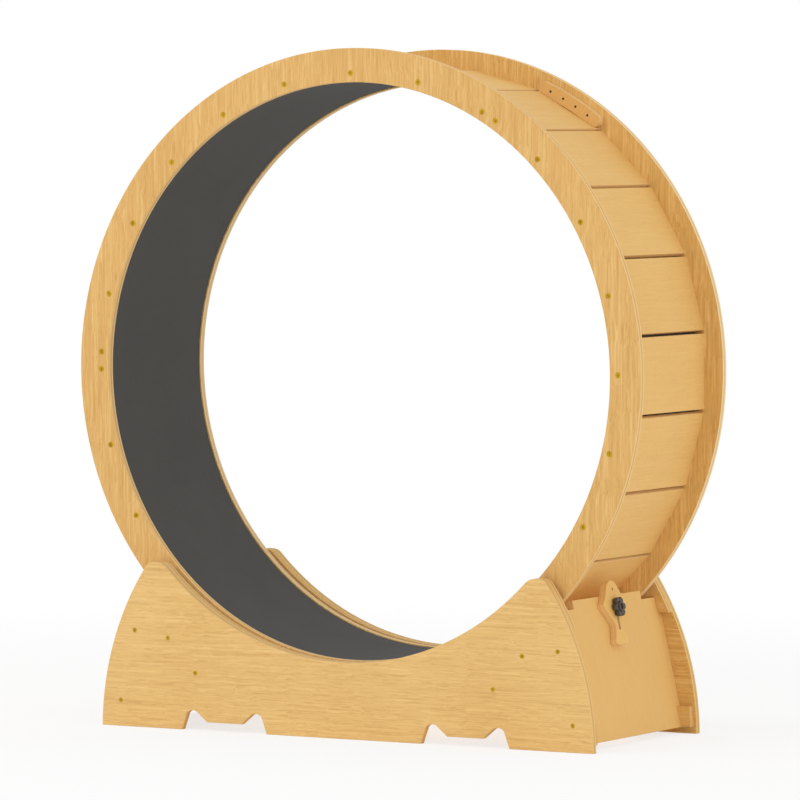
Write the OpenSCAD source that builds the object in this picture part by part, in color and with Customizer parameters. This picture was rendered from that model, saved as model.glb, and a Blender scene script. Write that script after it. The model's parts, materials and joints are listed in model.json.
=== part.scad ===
// Wooden exercise wheel for a cat: a slatted drum that turns on four grooved
// rollers in a low cradle base, with a sliding brake on one end of the base.
// Origin: on the floor under the middle of the wheel. +X along the base,
// +Y from the front side panel to the rear one, +Z up. Millimetres.

/* [Wheel rings] */
// Outer radius of the two ring plates
ring_r = 500; // [470:1:540]
// Width of the ring band, from outer edge to inner edge
ring_band = 52.8; // [46:0.1:58]
// Thickness of the ring plates
ring_t = 12; // [9:0.5:15]
// Distance between the outer faces of the two rings
wheel_w = 287; // [240:1:320]
// How far the wheel stands turned from its first slat on the +X side
wheel_turn = 0.67; // [0:0.01:7]
// Angle from a joint slat's middle to the joint in the front ring
front_joint = -1.76; // [-2.5:0.01:-1]
// Angle from a joint slat's middle to the joint in the rear ring
rear_joint = -0.27; // [-1:0.01:0.5]

/* [Slats and mat] */
// Number of slats round the drum, a multiple of three
slat_n = 24; // [24:3:27]
// Gap between neighbouring slats, at their inner faces
slat_gap = 2.9; // [1:0.1:8]
// Angle from a slat's screws to the slat's middle
slat_shift = -0.54; // [-1:0.01:1]
// Thickness of a slat
slat_t = 12; // [9:0.5:14]
// Distance from a ring's outer edge to its slat screws
screw_in = 38.7; // [37:0.1:41]
// Thickness of the running mat inside the slats
mat_t = 6; // [3:0.5:7]
// Gap between the mat and the flat of each slat
mat_gap = 0.25; // [0.1:0.05:0.5]

/* [Splice plates] */
// Length of the plates behind the ring joints
splice_l = 124; // [110:1:130]
// Height of the splice plates
splice_h = 21; // [18:0.5:22]
// Thickness of the splice plates
splice_t = 12; // [6:0.5:14]
// Radius of the splice screws' heads
splice_head_r = 2; // [1.8:0.1:3]
// Radius of the splice screws' shanks
splice_shank_r = 1.3; // [1:0.1:1.7]
// Distance between the screws of a splice plate
splice_pitch = 25; // [22:0.5:27]
// Distance from a ring's outer edge to the middle of the splice plates
splice_in = 21.4; // [20:0.1:23]

/* [Base side panels] */
// Height of the wheel's lowest point above the floor
ground_gap = 66; // [60:1:80]
// Thickness of the panels and boards of the base
board_t = 12; // [9:0.5:15]
// Clear space between a ring and the side panel next to it
side_gap = 23; // [20:0.5:32]
// How far the foot of the base stops short of the wheel's edge
base_inset = 61.7; // [50:0.1:75]
// How far the panels' arc reaches above the rings' inner edge
arc_rise = -0.4; // [-4:0.1:3]
// Angle from straight down to the tips of the side panels
tip_angle = 47.05; // [45:0.05:49]
// Width of a tip at its top, before rounding
tip_w = 25; // [24:0.5:32]
// Rounding of a tip's corner next to the wheel
tip_round = 22; // [10:0.5:24]
// Rounding of a tip's outer corner
tip_end_round = 14; // [8:0.5:16]
// Radius of the bowed ends of the side panels
end_bow_r = 450; // [420:1:600]

/* [Foot cut-outs] */
// Distance from the middle of the base to the middle of a foot cut-out
foot_x = 213.5; // [205:0.5:222]
// Height of the raised flat in the middle of a cut-out
foot_flat_h = 13.4; // [10:0.1:16]
// Height of the two humps of a cut-out
foot_hump_h = 32; // [29:0.5:36]
// Distance from the middle of a cut-out to the middle of a hump
foot_hump_x = 61.5; // [58:0.5:66]
// Radius of the humps
foot_hump_r = 10; // [9:0.5:12]
// Slope of the hump's steep side, away from upright
foot_steep = 19.6; // [12:0.1:24]
// Slope of the hump's gentle side
foot_gentle = 41; // [36:0.5:48]

/* [Base end panels] */
// Lean of the end panels, away from upright
end_tilt = 13.2; // [11:0.1:15]
// How far an end panel's outer face stands in from the foot, at the floor
end_inset = 18.7; // [15:0.1:24]
// Height of the end panels' lower edge above the floor, along the panel
end_low = 11; // [6:0.5:16]
// Clear space between the end panel's raised middle and the slats
tab_clear = 23.5; // [21:0.5:40]
// Clear space between the end panel's shoulders and the rings
shoulder_clear = 5.8; // [4:0.1:12]
// Distance from a ring's inner face to the raised middle of the end panel
tab_gap = 20.5; // [14:0.5:30]

/* [Corner blocks] */
// Drop from the panel tips to the lower edge of the tip blocks
tip_block_h = 72.6; // [60:0.1:85]
// Height of the foot blocks' lower edge above the floor
foot_block_z = 11; // [6:0.5:16]
// Height of the foot blocks
foot_block_h = 32; // [24:0.5:40]
// Thickness of the corner blocks
block_t = 12; // [9:0.5:14]
// Gap between the tip blocks and the top of the end panels' shoulders
seat = 0.3; // [0.1:0.1:1]

/* [Roller boards and brackets] */
// Angle from straight down to the rollers
roller_angle = 32.5; // [30:0.1:35]
// Lean of the roller boards, away from level
roller_board_tilt = 46.6; // [40:0.1:50]
// Width of the roller boards
roller_board_w = 100; // [94:1:110]
// Height of the roller axles above the roller boards
axle_lift = 10; // [8:0.5:12]
// Length of the opening in the board under a roller
roller_slot_l = 52; // [50:0.5:56]
// Thickness of the bracket's sheet steel
bracket_t = 2.5; // [2:0.1:3]
// Length of a bracket's foot along the board's width
bracket_l = 74; // [70:0.5:80]
// Width of a bracket's foot
bracket_w = 54; // [50:0.5:57]
// Radius of the rounded top of the bracket ears
ear_r = 8.5; // [7.5:0.1:9.5]

/* [Rollers] */
// Radius of a roller at the bottom of its groove
roller_r = 20; // [18:0.1:22]
// Height of the groove's flanges
flange_h = 4; // [3:0.1:5]
// Width of a roller
roller_w = 24; // [22:0.5:26]
// Play of a ring in the groove, each side
groove_play = 0.4; // [0.2:0.05:1]
// Gap between a ring's edge and the bottom of the groove
roll_gap = 0.3; // [0.15:0.05:0.5]
// Gap between a roller and the bracket ears
ear_gap = 1; // [0.5:0.1:1.5]
// Radius of the axle bolts
axle_r = 4; // [3:0.1:5]
// Running clearance of a roller on its axle
run_fit = 0.05; // [0.02:0.01:0.1]

/* [Lock] */
// Thickness of the lock slide
lock_t = 12; // [9:0.5:14]
// Distance from the lock bolt to the slide's tip
lock_head = 42.4; // [41:0.1:48]
// Distance from the lock bolt to the slide's lower end
lock_tail = 57.4; // [54:0.1:64]
// Half of the slide's width at its fins
lock_fin = 36; // [34:0.5:40]
// Half of the slide's width at its neck
lock_neck = 9.6; // [8.5:0.1:12]
// Half of the slide's width at its lower end
lock_foot = 18.5; // [16:0.5:22]
// Length of the guide slot between its end centres
lock_slot = 32; // [26:0.5:33]
// Clearance of the guide slot round the bolt
slot_fit = 0.2; // [0.1:0.05:0.5]
// Radius of the small hole in the slide's head
lock_eye_r = 2.5; // [1.5:0.1:3]
// Drop from the end panel's top edge to the lock bolt
bolt_drop = 20.9; // [18:0.1:26]
// Radius of the lock bolt
bolt_r = 3; // [2.5:0.1:4]
// Radius of the lock bolt's round head
bolt_head_r = 8; // [7:0.1:10]
// Thickness of the lock bolt's head
bolt_head_t = 3.5; // [2.5:0.1:5]
// Gap between the slide and what it slides on
slide_gap = 0.2; // [0.1:0.05:0.4]
// Thickness of the washer under the knob
washer_t = 1.2; // [0.8:0.1:2]
// Radius of the washer
washer_r = 9; // [7:0.1:10]
// Radius of the star knob
knob_r = 15.8; // [14:0.1:17.5]
// Thickness of the star knob
knob_t = 9; // [8:0.5:14]
// Number of lobes on the star knob
knob_lobes = 6; // [5:1:7]

/* [Screws] */
// Radius of the wood screws' heads
head_r = 3.8; // [3.3:0.1:4.5]
// Depth of the wood screws' sunk heads
head_h = 2.4; // [1.8:0.1:3]
// Radius of the wood screws' shanks
shank_r = 2; // [1.6:0.1:2.4]
// How far the long screws reach into the second piece
bite = 24; // [16:0.5:28]
// How far the short screws reach into the second piece
short_bite = 8; // [5:0.5:8.5]
// Clearance of screws and bolts in their holes
screw_fit = 0.05; // [0.02:0.01:0.1]
// Distance from a roller board's middle to its end screws
board_screw_x = 36.5; // [30:0.5:42]
// Height of the end panels' lower screws above the floor
end_screw_low = 41; // [34:0.5:48]
// Height of the end panels' upper screws above the floor
end_screw_high = 152.3; // [140:0.5:165]

/* [Hidden] */
$fn = 96;
axle_h = ring_r + ground_gap;
ring_in = ring_r - ring_band;
slat_step = 360 / slat_n;
slat_l = wheel_w - 2 * ring_t;
screw_circle = ring_r - screw_in;
splice_circle = ring_r - splice_in;
slat_in = screw_circle - slat_t / 2;
slat_out = screw_circle + slat_t / 2;
slat_w = 2 * slat_in * tan(slat_step / 2) - slat_gap;
slat_pitch = 2 * slat_out * tan(slat_step / 2);
splice_ease = 0.1;
cut_past = 1;
slat_corner = norm([slat_out, slat_w / 2]);
mat_out = slat_in - mat_gap;
mat_in = mat_out - mat_t;
pair_angle = 1.7;
joint_slats = [for (m = [0:2]) round(slat_n / 6) + m * slat_n / 3];

panel_in = wheel_w / 2 + side_gap;
panel_out = panel_in + board_t;
arc_r = ring_in - arc_rise;
base_x = ring_r - base_inset;
tip_z = axle_h - arc_r * cos(tip_angle);
tip_x = arc_r * sin(tip_angle) + tip_w;
bow_mid = ([base_x, 0] + [tip_x, tip_z]) / 2;
bow_chord = norm([base_x - tip_x, tip_z]);
bow_c = bow_mid - sqrt(end_bow_r * end_bow_r - bow_chord * bow_chord / 4)
    * [tip_z, base_x - tip_x] / bow_chord;

end_x = base_x - end_inset;
end_root = [end_x - board_t * cos(end_tilt), -board_t * sin(end_tilt) - axle_h];
end_up = [-sin(end_tilt), cos(end_tilt)];
function reach(d) = let (p = end_root * end_up)
    -p - sqrt(p * p - end_root * end_root + d * d);
tab_top = reach(slat_corner + tab_clear);
shoulder = reach(ring_r + shoulder_clear);
tab_y = wheel_w / 2 - ring_t - tab_gap;
bolt_z = tab_top - bolt_drop;

ring_mid = (wheel_w - ring_t) / 2;
roller_at = (ring_r + roller_r + roll_gap) * [sin(roller_angle), -cos(roller_angle)]
    + [0, axle_h];
ear_in = roller_w / 2 + ear_gap;
ear_out = ear_in + bracket_t;
knob_x = lock_t + 2 * slide_gap + washer_t + slide_gap;

wood = [0.87, 0.71, 0.46];
ply = [0.84, 0.67, 0.42];
brass = [0.68, 0.58, 0.20];
steel = [0.62, 0.63, 0.65];

function slat_at(k) = wheel_turn + slat_shift + k * slat_step;
function joint_at(f, m) = wheel_turn + joint_slats[m] * slat_step
    + (f < 0 ? front_joint : rear_joint);
function is_joint(k) = len([for (j = joint_slats) if (j == k) 1]) > 0;
function screw_angles(f) = concat(
    [for (k = [0:slat_n - 1]) if (!is_joint(k)) wheel_turn + k * slat_step],
    [for (m = [0:2]) each [joint_at(f, m) - pair_angle, joint_at(f, m) + pair_angle]]);
splice_turns = [for (i = [-1.5:1:1.5]) i * splice_pitch / splice_circle * 180 / PI];

// A plate drawn in the X-Z plane, from y0 to y0 + t
module upright(y0, t) {
    translate([0, y0 + t, 0]) rotate([90, 0, 0]) linear_extrude(t) children();
}

// Places something on the wheel at an angle from +X towards +Z
module on_wheel(a) {
    translate([0, 0, axle_h]) rotate([0, -a, 0]) children();
}

// Turns +Z to face the front (f = -1) or the rear (f = 1)
module facing(f) {
    rotate([-f * 90, 0, 0]) children();
}

// A countersunk wood screw, head at z = 0, or the hole it sits in
module screw(l, fit = 0, top = head_r, body = shank_r) {
    sink = head_h * (top - body) / (head_r - shank_r);
    // a hole's cone runs on past the face, so that no skin is left over it
    past = fit > 0 ? cut_past : 0;
    translate([0, 0, -sink])
        cylinder(r1 = body + fit, r2 = top + fit + past * (top - body) / sink, h = sink + past);
    translate([0, 0, -l - fit * 4]) cylinder(r = body + fit, h = l - sink + fit * 4);
}

// A small screw of the splice plates, or its hole
module splice_screw(fit = 0) {
    screw(splice_t + short_bite, fit, splice_head_r, splice_shank_r);
}

// Pie slice from angle a0 to a1, less than half a turn
module slice(a0, a1) {
    am = (a0 + a1) / 2;
    far = ring_r * 3;
    polygon([[0, 0], far * [cos(a0), sin(a0)], far * [cos(am), sin(am)],
        far * [cos(a1), sin(a1)]]);
}

module ring_segment(f, m) {
    a0 = joint_at(f, m);
    a1 = a0 + 120;
    face = f * wheel_w / 2;
    color(wood) difference() {
        translate([0, 0, axle_h]) upright(min(face, face - f * ring_t), ring_t)
            intersection() {
                difference() {
                    circle(r = ring_r, $fn = 360);
                    circle(r = ring_in, $fn = 360);
                }
                slice(a0, a1);
            }
        for (a = screw_angles(f))
            if ((a > a0 && a < a1) || (a + 360 > a0 && a + 360 < a1))
                on_wheel(a) translate([screw_circle, face, 0]) facing(f)
                    screw(ring_t + bite, screw_fit);
        for (j = [a0, a1], t = splice_turns)
            if ((j == a0 && t > 0) || (j == a1 && t < 0))
                on_wheel(j + t) translate([splice_circle, face - f * (ring_t + splice_t), 0])
                    facing(-f) splice_screw(screw_fit);
    }
}

module slat(k) {
    a = wheel_turn + k * slat_step;
    color(wood) difference() {
        on_wheel(slat_at(k)) translate([slat_in, -slat_l / 2, -slat_w / 2])
            cube([slat_t, slat_l, slat_w]);
        for (f = [-1, 1], b = screw_angles(f))
            if (abs(b - a) < slat_step / 2)
                on_wheel(b) translate([screw_circle, f * wheel_w / 2, 0]) facing(f)
                    screw(ring_t + bite, screw_fit);
    }
}

module running_mat() {
    color([0.29, 0.29, 0.28]) translate([0, 0, axle_h]) upright(-slat_l / 2, slat_l)
        difference() {
            circle(r = mat_out, $fn = 360);
            circle(r = mat_in, $fn = 360);
        }
}

module splice_plates(f) {
    half = (splice_l - splice_h) / 2 / splice_circle * 180 / PI;
    inner = f * (wheel_w / 2 - ring_t);
    for (m = [0:2]) {
        j = joint_at(f, m);
        color(ply) difference() {
            translate([0, 0, axle_h]) upright(min(inner, inner - f * splice_t), splice_t)
                rotate(j) union() {
                    intersection() {
                        difference() {
                            circle(r = splice_circle + splice_h / 2, $fn = 360);
                            circle(r = splice_circle - splice_h / 2, $fn = 360);
                        }
                        slice(-half, half);
                    }
                    for (s = [-1, 1]) rotate(s * half) translate([splice_circle, 0])
                        circle(d = splice_h - 2 * splice_ease);
                }
            for (t = splice_turns)
                on_wheel(j + t) translate([splice_circle, inner - f * splice_t, 0])
                    facing(-f) splice_screw(screw_fit);
            for (k = [-1:1])
                on_wheel(slat_at(joint_slats[m] + k))
                    translate([slat_in, -slat_l, -slat_pitch / 2 - 0.5])
                        cube([slat_t + 0.1, slat_l * 2, slat_pitch + 1]);
        }
    }
}

module slat_screws() {
    color(brass) for (f = [-1, 1], a = screw_angles(f))
        on_wheel(a) translate([screw_circle, f * wheel_w / 2, 0]) facing(f)
            screw(ring_t + bite);
}

module splice_screws() {
    color([0.12, 0.12, 0.13]) for (f = [-1, 1], m = [0:2], t = splice_turns)
        on_wheel(joint_at(f, m) + t)
            translate([splice_circle, f * (wheel_w / 2 - ring_t - splice_t), 0])
                facing(-f) splice_screw();
}

// One rounded corner: c centre, p and q the tangent points, away outwards
module corner_cut(c, p, q, away) {
    difference() {
        polygon([c, p, p + away, (p + q) / 2 + 3 * away, q + away, q]);
        translate(c) circle(r = norm(p - c));
    }
}

// Points on the right of x = 0 with their mirror images, as one closed path
function both_sides(right) = concat(right,
    [for (i = [len(right) - 1:-1:0]) [-right[i][0], right[i][1]]]);

// A foot cut-out with a hump at each end, centred on x = 0
module foot_cut() {
    c = [foot_hump_x, foot_hump_h - foot_hump_r];
    side_r = foot_hump_r - 0.05;
    steep = c + side_r * [cos(foot_steep), sin(foot_steep)];
    gentle = c + side_r * [-sin(foot_gentle), cos(foot_gentle)];
    polygon(both_sides([
        [steep[0] + (steep[1] + 1) * tan(foot_steep), -1], steep, c, gentle,
        [gentle[0] - (gentle[1] - foot_flat_h) / tan(foot_gentle), foot_flat_h]
    ]));
    for (s = [-1, 1]) translate([s * c[0], c[1]]) circle(r = foot_hump_r);
}

// Outline of a side panel
module outline() {
    ow_r = end_bow_r - tip_end_round;
    ow_up = tip_z - tip_end_round - bow_c[1];
    ow = bow_c + [sqrt(ow_r * ow_r - ow_up * ow_up), ow_up];
    iw_r = arc_r + tip_round;
    iw_up = tip_z - tip_round - axle_h;
    iw = [0, axle_h] + [sqrt(iw_r * iw_r - iw_up * iw_up), iw_up];
    difference() {
        translate([-ring_r, 0]) square([2 * ring_r, tip_z]);
        translate([0, axle_h]) circle(r = arc_r, $fn = 360);
        for (s = [0, 1]) mirror([s, 0]) {
            difference() {
                translate([foot_x, -1]) square([ring_r, tip_z + 2]);
                translate(bow_c) circle(r = end_bow_r, $fn = 360);
            }
            corner_cut(ow, bow_c + (ow - bow_c) * end_bow_r / ow_r, ow + [0, tip_end_round],
                [6, 8]);
            corner_cut(iw, [0, axle_h] + (iw - [0, axle_h]) * arc_r / iw_r,
                iw + [0, tip_round], [-6, 8]);
            translate([foot_x, 0]) foot_cut();
        }
    }
}

// Where the screws go through the side panels: the end panels' and the boards'
end_screw_pts = [for (h = [end_screw_low, end_screw_high])
    [end_x - board_t / 2 / cos(end_tilt) - h * tan(end_tilt), h]];
board_mid = roller_at + (axle_lift + board_t / 2)
    * [sin(roller_board_tilt), -cos(roller_board_tilt)];
board_screw_pts = [for (s = [-1, 1])
    board_mid + s * board_screw_x * [cos(roller_board_tilt), sin(roller_board_tilt)]];
panel_screw_pts = concat(end_screw_pts, board_screw_pts);
block_mid_x = function (z) (sqrt(end_bow_r * end_bow_r - pow(z - bow_c[1], 2)) + bow_c[0]
    + end_x - z * tan(end_tilt)) / 2;
tip_block_z = tip_z - tip_block_h;
block_screw_up = 9.5;
block_screw_pt = [block_mid_x(tip_block_z + block_screw_up), tip_block_z + block_screw_up];

module panel_screw_set(fit = 0) {
    for (f = [-1, 1], s = [-1, 1], p = panel_screw_pts)
        translate([s * p[0], f * panel_out, p[1]]) facing(f) screw(board_t + bite, fit);
}

module block_screw_set(fit = 0) {
    for (f = [-1, 1], s = [-1, 1])
        translate([s * block_screw_pt[0], f * (panel_in - block_t), block_screw_pt[1]])
            facing(-f) screw(block_t + short_bite, fit);
}

module side_panel(f) {
    color(wood) difference() {
        upright(f < 0 ? -panel_out : panel_in, board_t) outline();
        panel_screw_set(screw_fit);
        block_screw_set(screw_fit);
    }
}

// Places something on the outer face of the right (s = 1) or left end panel:
// +X out of the face, +Z up along the panel from the floor
module on_end(s) {
    mirror([s < 0 ? 1 : 0, 0, 0])
        translate([end_x, 0, 0]) rotate([0, -end_tilt, 0]) children();
}

module end_panel(s) {
    color(wood) difference() {
        on_end(s) {
            translate([-board_t, -panel_in, end_low])
                cube([board_t, 2 * panel_in, shoulder - end_low]);
            translate([-board_t, -tab_y, shoulder - 1])
                cube([board_t, 2 * tab_y, tab_top - shoulder + 1]);
        }
        panel_screw_set(screw_fit);
        if (s > 0) on_end(s) translate([0, 0, bolt_z]) rotate([0, 90, 0])
            translate([0, 0, -board_t - 1]) cylinder(r = bolt_r + screw_fit, h = board_t + 2);
    }
}

// Corner block from z0 up to z1, outside the end panel. Above the height over it
// fills the whole tip of the side panel
module block(f, s, z0, z1, over) {
    mirror([s < 0 ? 1 : 0, 0, 0])
        upright(f < 0 ? -panel_in : panel_in - block_t, block_t) intersection() {
            outline();
            polygon(concat([[end_x - z0 * tan(end_tilt), z0], [ring_r, z0], [ring_r, z1]],
                over < z1 ? [[foot_x, z1], [foot_x, over]] : [],
                [[end_x - min(over, z1) * tan(end_tilt), min(over, z1)]]));
        }
}

module tip_blocks() {
    color(ply) difference() {
        for (f = [-1, 1], s = [-1, 1])
            block(f, s, tip_block_z, tip_z, shoulder * cos(end_tilt) + seat);
        block_screw_set(screw_fit);
    }
}

module foot_blocks() {
    color(ply) for (f = [-1, 1], s = [-1, 1])
        block(f, s, foot_block_z, foot_block_z + foot_block_h,
            foot_block_z + foot_block_h);
}

// Places something on a roller's axle: s = -1 left or 1 right, f = -1 front,
// 1 rear, 0 between them. +Z square to the roller board, towards the wheel
module on_roller(s, f) {
    mirror([s < 0 ? 1 : 0, 0, 0]) translate([roller_at[0], f * ring_mid, roller_at[1]])
        rotate([0, -roller_board_tilt, 0]) children();
}

bracket_screw_pts = [for (x = [-1, 1], y = [-1, 1])
    [x * (bracket_l / 2 - 5), y * (bracket_w / 2 - 7)]];

module bracket_screw_set(fit = 0) {
    for (s = [-1, 1], f = [-1, 1], p = bracket_screw_pts)
        on_roller(s, f) translate([p[0], p[1], bracket_t - axle_lift])
            screw(bracket_t + short_bite, fit);
}

module roller_board(s) {
    color(wood) difference() {
        on_roller(s, 0) translate([-roller_board_w / 2, -panel_in, -axle_lift - board_t])
            cube([roller_board_w, 2 * panel_in, board_t]);
        for (f = [-1, 1]) on_roller(s, f)
            translate([-roller_slot_l / 2, -ear_in, -axle_lift - board_t - 1])
                cube([roller_slot_l, 2 * ear_in, board_t + 2]);
        panel_screw_set(screw_fit);
        bracket_screw_set(screw_fit);
    }
}

module bracket(s, f) {
    color(steel) difference() {
        on_roller(s, f) {
            difference() {
                translate([-bracket_l / 2, -bracket_w / 2, -axle_lift])
                    cube([bracket_l, bracket_w, bracket_t]);
                translate([-roller_slot_l / 2, -ear_in, -axle_lift - 1])
                    cube([roller_slot_l, 2 * ear_in, bracket_t + 2]);
            }
            for (e = [-1, 1]) upright(e < 0 ? -ear_out : ear_in, bracket_t) {
                circle(r = ear_r);
                polygon([[-ear_r, 0], [-roller_slot_l / 2, -axle_lift],
                    [roller_slot_l / 2, -axle_lift], [ear_r, 0]]);
            }
        }
        bracket_screw_set(screw_fit);
        on_roller(s, f) rotate([90, 0, 0])
            cylinder(r = axle_r + screw_fit, h = 4 * ear_out, center = true);
    }
}

module bracket_screws() {
    color(steel) bracket_screw_set();
}

module axle_bolts() {
    hex = axle_r * 1.875;
    color(steel) for (s = [-1, 1], f = [-1, 1]) on_roller(s, f) {
        rotate([90, 0, 0]) translate([0, 0, -ear_out - axle_r * 1.6 - 1.5])
            cylinder(r = axle_r, h = 2 * ear_out + axle_r * 1.6 + 1.5);
        translate([0, ear_out, 0]) rotate([-90, 0, 0])
            difference() {
                cylinder(r = hex, h = axle_r * 1.6, $fn = 6);
                translate([0, 0, -1]) cylinder(r = axle_r, h = axle_r * 1.6 + 2);
            }
        translate([0, -ear_out, 0]) rotate([90, 0, 0])
            cylinder(r = hex, h = axle_r * 1.3, $fn = 6);
    }
}

module roller(s, f) {
    groove = ring_t / 2 + groove_play;
    rim = roller_r + flange_h;
    color([0.16, 0.16, 0.17]) on_roller(s, f) rotate([90, 0, 0]) rotate_extrude() polygon([
        [axle_r + run_fit, -roller_w / 2],
        [axle_r + run_fit + 4, -roller_w / 2],
        [axle_r + run_fit + 5, -roller_w / 2 + 1.5],
        [rim - 5, -roller_w / 2 + 1.5],
        [rim - 4, -roller_w / 2],
        [rim - 1, -roller_w / 2],
        [rim, -roller_w / 2 + 1],
        [rim, -groove - 1],
        [rim - 1.5, -groove],
        [roller_r, -groove],
        [roller_r, groove],
        [rim - 1.5, groove],
        [rim, groove + 1],
        [rim, roller_w / 2 - 1],
        [rim - 1, roller_w / 2],
        [rim - 4, roller_w / 2],
        [rim - 5, roller_w / 2 - 1.5],
        [axle_r + run_fit + 5, roller_w / 2 - 1.5],
        [axle_r + run_fit + 4, roller_w / 2],
        [axle_r + run_fit, roller_w / 2]
    ]);
}

module panel_screws() {
    color(brass) panel_screw_set();
}

module block_screws() {
    color(brass) block_screw_set();
}

// The lock slide without its holes, lying on z = 0 with the bolt at the origin
module lock_blank() {
    head_round = 20;
    fin_round = 3.5;
    tail_round = 6.2;
    right = [
        [0, lock_head - head_round] + (head_round - 0.6) * [cos(34), sin(34)],
        [lock_fin - 6, 14], [lock_fin - 3, 11.5], [lock_fin - 1.5, 9.5],
        [lock_fin - 1.5, 2.5], [lock_fin - 4.5, -1.5], [lock_neck + 1.5, -23.5],
        [lock_neck, -27], [lock_neck + 0.6, -30],
        [lock_foot - 0.6, tail_round + 0.8 - lock_tail],
        [lock_foot - tail_round, tail_round - lock_tail]
    ];
    linear_extrude(lock_t) polygon(both_sides(right));
    translate([0, lock_head - head_round, 0]) cylinder(r = head_round, h = lock_t);
    translate([tail_round - lock_foot, -lock_tail, 0])
        cube([2 * (lock_foot - tail_round), 2 * tail_round, lock_t]);
    for (s = [-1, 1]) {
        translate([s * (lock_fin - fin_round), 6, 0]) cylinder(r = fin_round, h = lock_t);
        translate([s * (lock_foot - tail_round), tail_round - lock_tail, 0])
            cylinder(r = tail_round, h = lock_t);
    }
}

// Bolt frame of the lock: +Z out of the end panel's outer face, +Y up along it
module on_bolt() {
    on_end(1) translate([0, 0, bolt_z]) rotate([90, 0, 90]) children();
}

module lock_slide() {
    slot = bolt_r + slot_fit;
    color(ply) on_bolt() translate([0, 0, slide_gap]) difference() {
        lock_blank();
        for (y = [0, -lock_slot]) translate([0, y, -1]) cylinder(r = slot, h = lock_t + 2);
        translate([-slot, -lock_slot, -1]) cube([2 * slot, lock_slot, lock_t + 2]);
        translate([0, lock_head - 13.8, -1]) cylinder(r = lock_eye_r, h = lock_t + 2);
    }
}

module lock_bolt() {
    color(steel) on_bolt() {
        translate([0, 0, -board_t]) cylinder(r = bolt_r, h = board_t + knob_x + knob_t * 0.6);
        translate([0, 0, -board_t - bolt_head_t]) cylinder(r = bolt_head_r, h = bolt_head_t);
    }
}

module lock_washer() {
    color(steel) on_bolt() translate([0, 0, lock_t + 2 * slide_gap]) difference() {
        cylinder(r = washer_r, h = washer_t);
        translate([0, 0, -1]) cylinder(r = bolt_r + screw_fit, h = washer_t + 2);
    }
}

module lock_knob() {
    lobe = knob_r * 0.33;
    color([0.09, 0.09, 0.10]) on_bolt() translate([0, 0, knob_x]) difference() {
        union() {
            cylinder(r = knob_r - lobe * 0.75, h = knob_t);
            for (i = [0:knob_lobes - 1]) rotate(i * 360 / knob_lobes)
                translate([knob_r - lobe, 0, 0]) cylinder(r = lobe, h = knob_t);
        }
        for (i = [0:knob_lobes - 1]) rotate((i + 0.5) * 360 / knob_lobes)
            translate([knob_r, 0, -1]) cylinder(r = lobe * 0.6, h = knob_t + 2);
        translate([0, 0, -1]) cylinder(r = bolt_r + run_fit, h = knob_t * 0.6 + 1 + slide_gap);
    }
}

ring_segment(-1, 0);  // front_ring_1
ring_segment(-1, 1);  // front_ring_2
ring_segment(-1, 2);  // front_ring_3
ring_segment(1, 0);  // rear_ring_1
ring_segment(1, 1);  // rear_ring_2
ring_segment(1, 2);  // rear_ring_3
slat(0);  // slat_01
slat(1);  // slat_02
slat(2);  // slat_03
slat(3);  // slat_04
slat(4);  // slat_05
slat(5);  // slat_06
slat(6);  // slat_07
slat(7);  // slat_08
slat(8);  // slat_09
slat(9);  // slat_10
slat(10);  // slat_11
slat(11);  // slat_12
slat(12);  // slat_13
slat(13);  // slat_14
slat(14);  // slat_15
slat(15);  // slat_16
slat(16);  // slat_17
slat(17);  // slat_18
slat(18);  // slat_19
slat(19);  // slat_20
slat(20);  // slat_21
slat(21);  // slat_22
slat(22);  // slat_23
slat(23);  // slat_24
running_mat();
splice_plates(-1);  // front_splice_plates
splice_plates(1);  // rear_splice_plates
slat_screws();
splice_screws();
side_panel(-1);  // front_side_panel
side_panel(1);  // rear_side_panel
end_panel(-1);  // left_end_panel
end_panel(1);  // right_end_panel
roller_board(-1);  // left_roller_board
roller_board(1);  // right_roller_board
tip_blocks();
foot_blocks();
bracket(-1, -1);  // front_left_bracket
bracket(1, -1);  // front_right_bracket
bracket(-1, 1);  // rear_left_bracket
bracket(1, 1);  // rear_right_bracket
bracket_screws();
axle_bolts();
panel_screws();
block_screws();
roller(-1, -1);  // front_left_roller
roller(1, -1);  // front_right_roller
roller(-1, 1);  // rear_left_roller
roller(1, 1);  // rear_right_roller
lock_slide();
lock_bolt();
lock_washer();
lock_knob();
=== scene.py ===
import json
import random
from math import atan2, cos, hypot, pi, radians, sin

import bmesh
import bpy
from mathutils import Matrix, Vector

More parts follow.
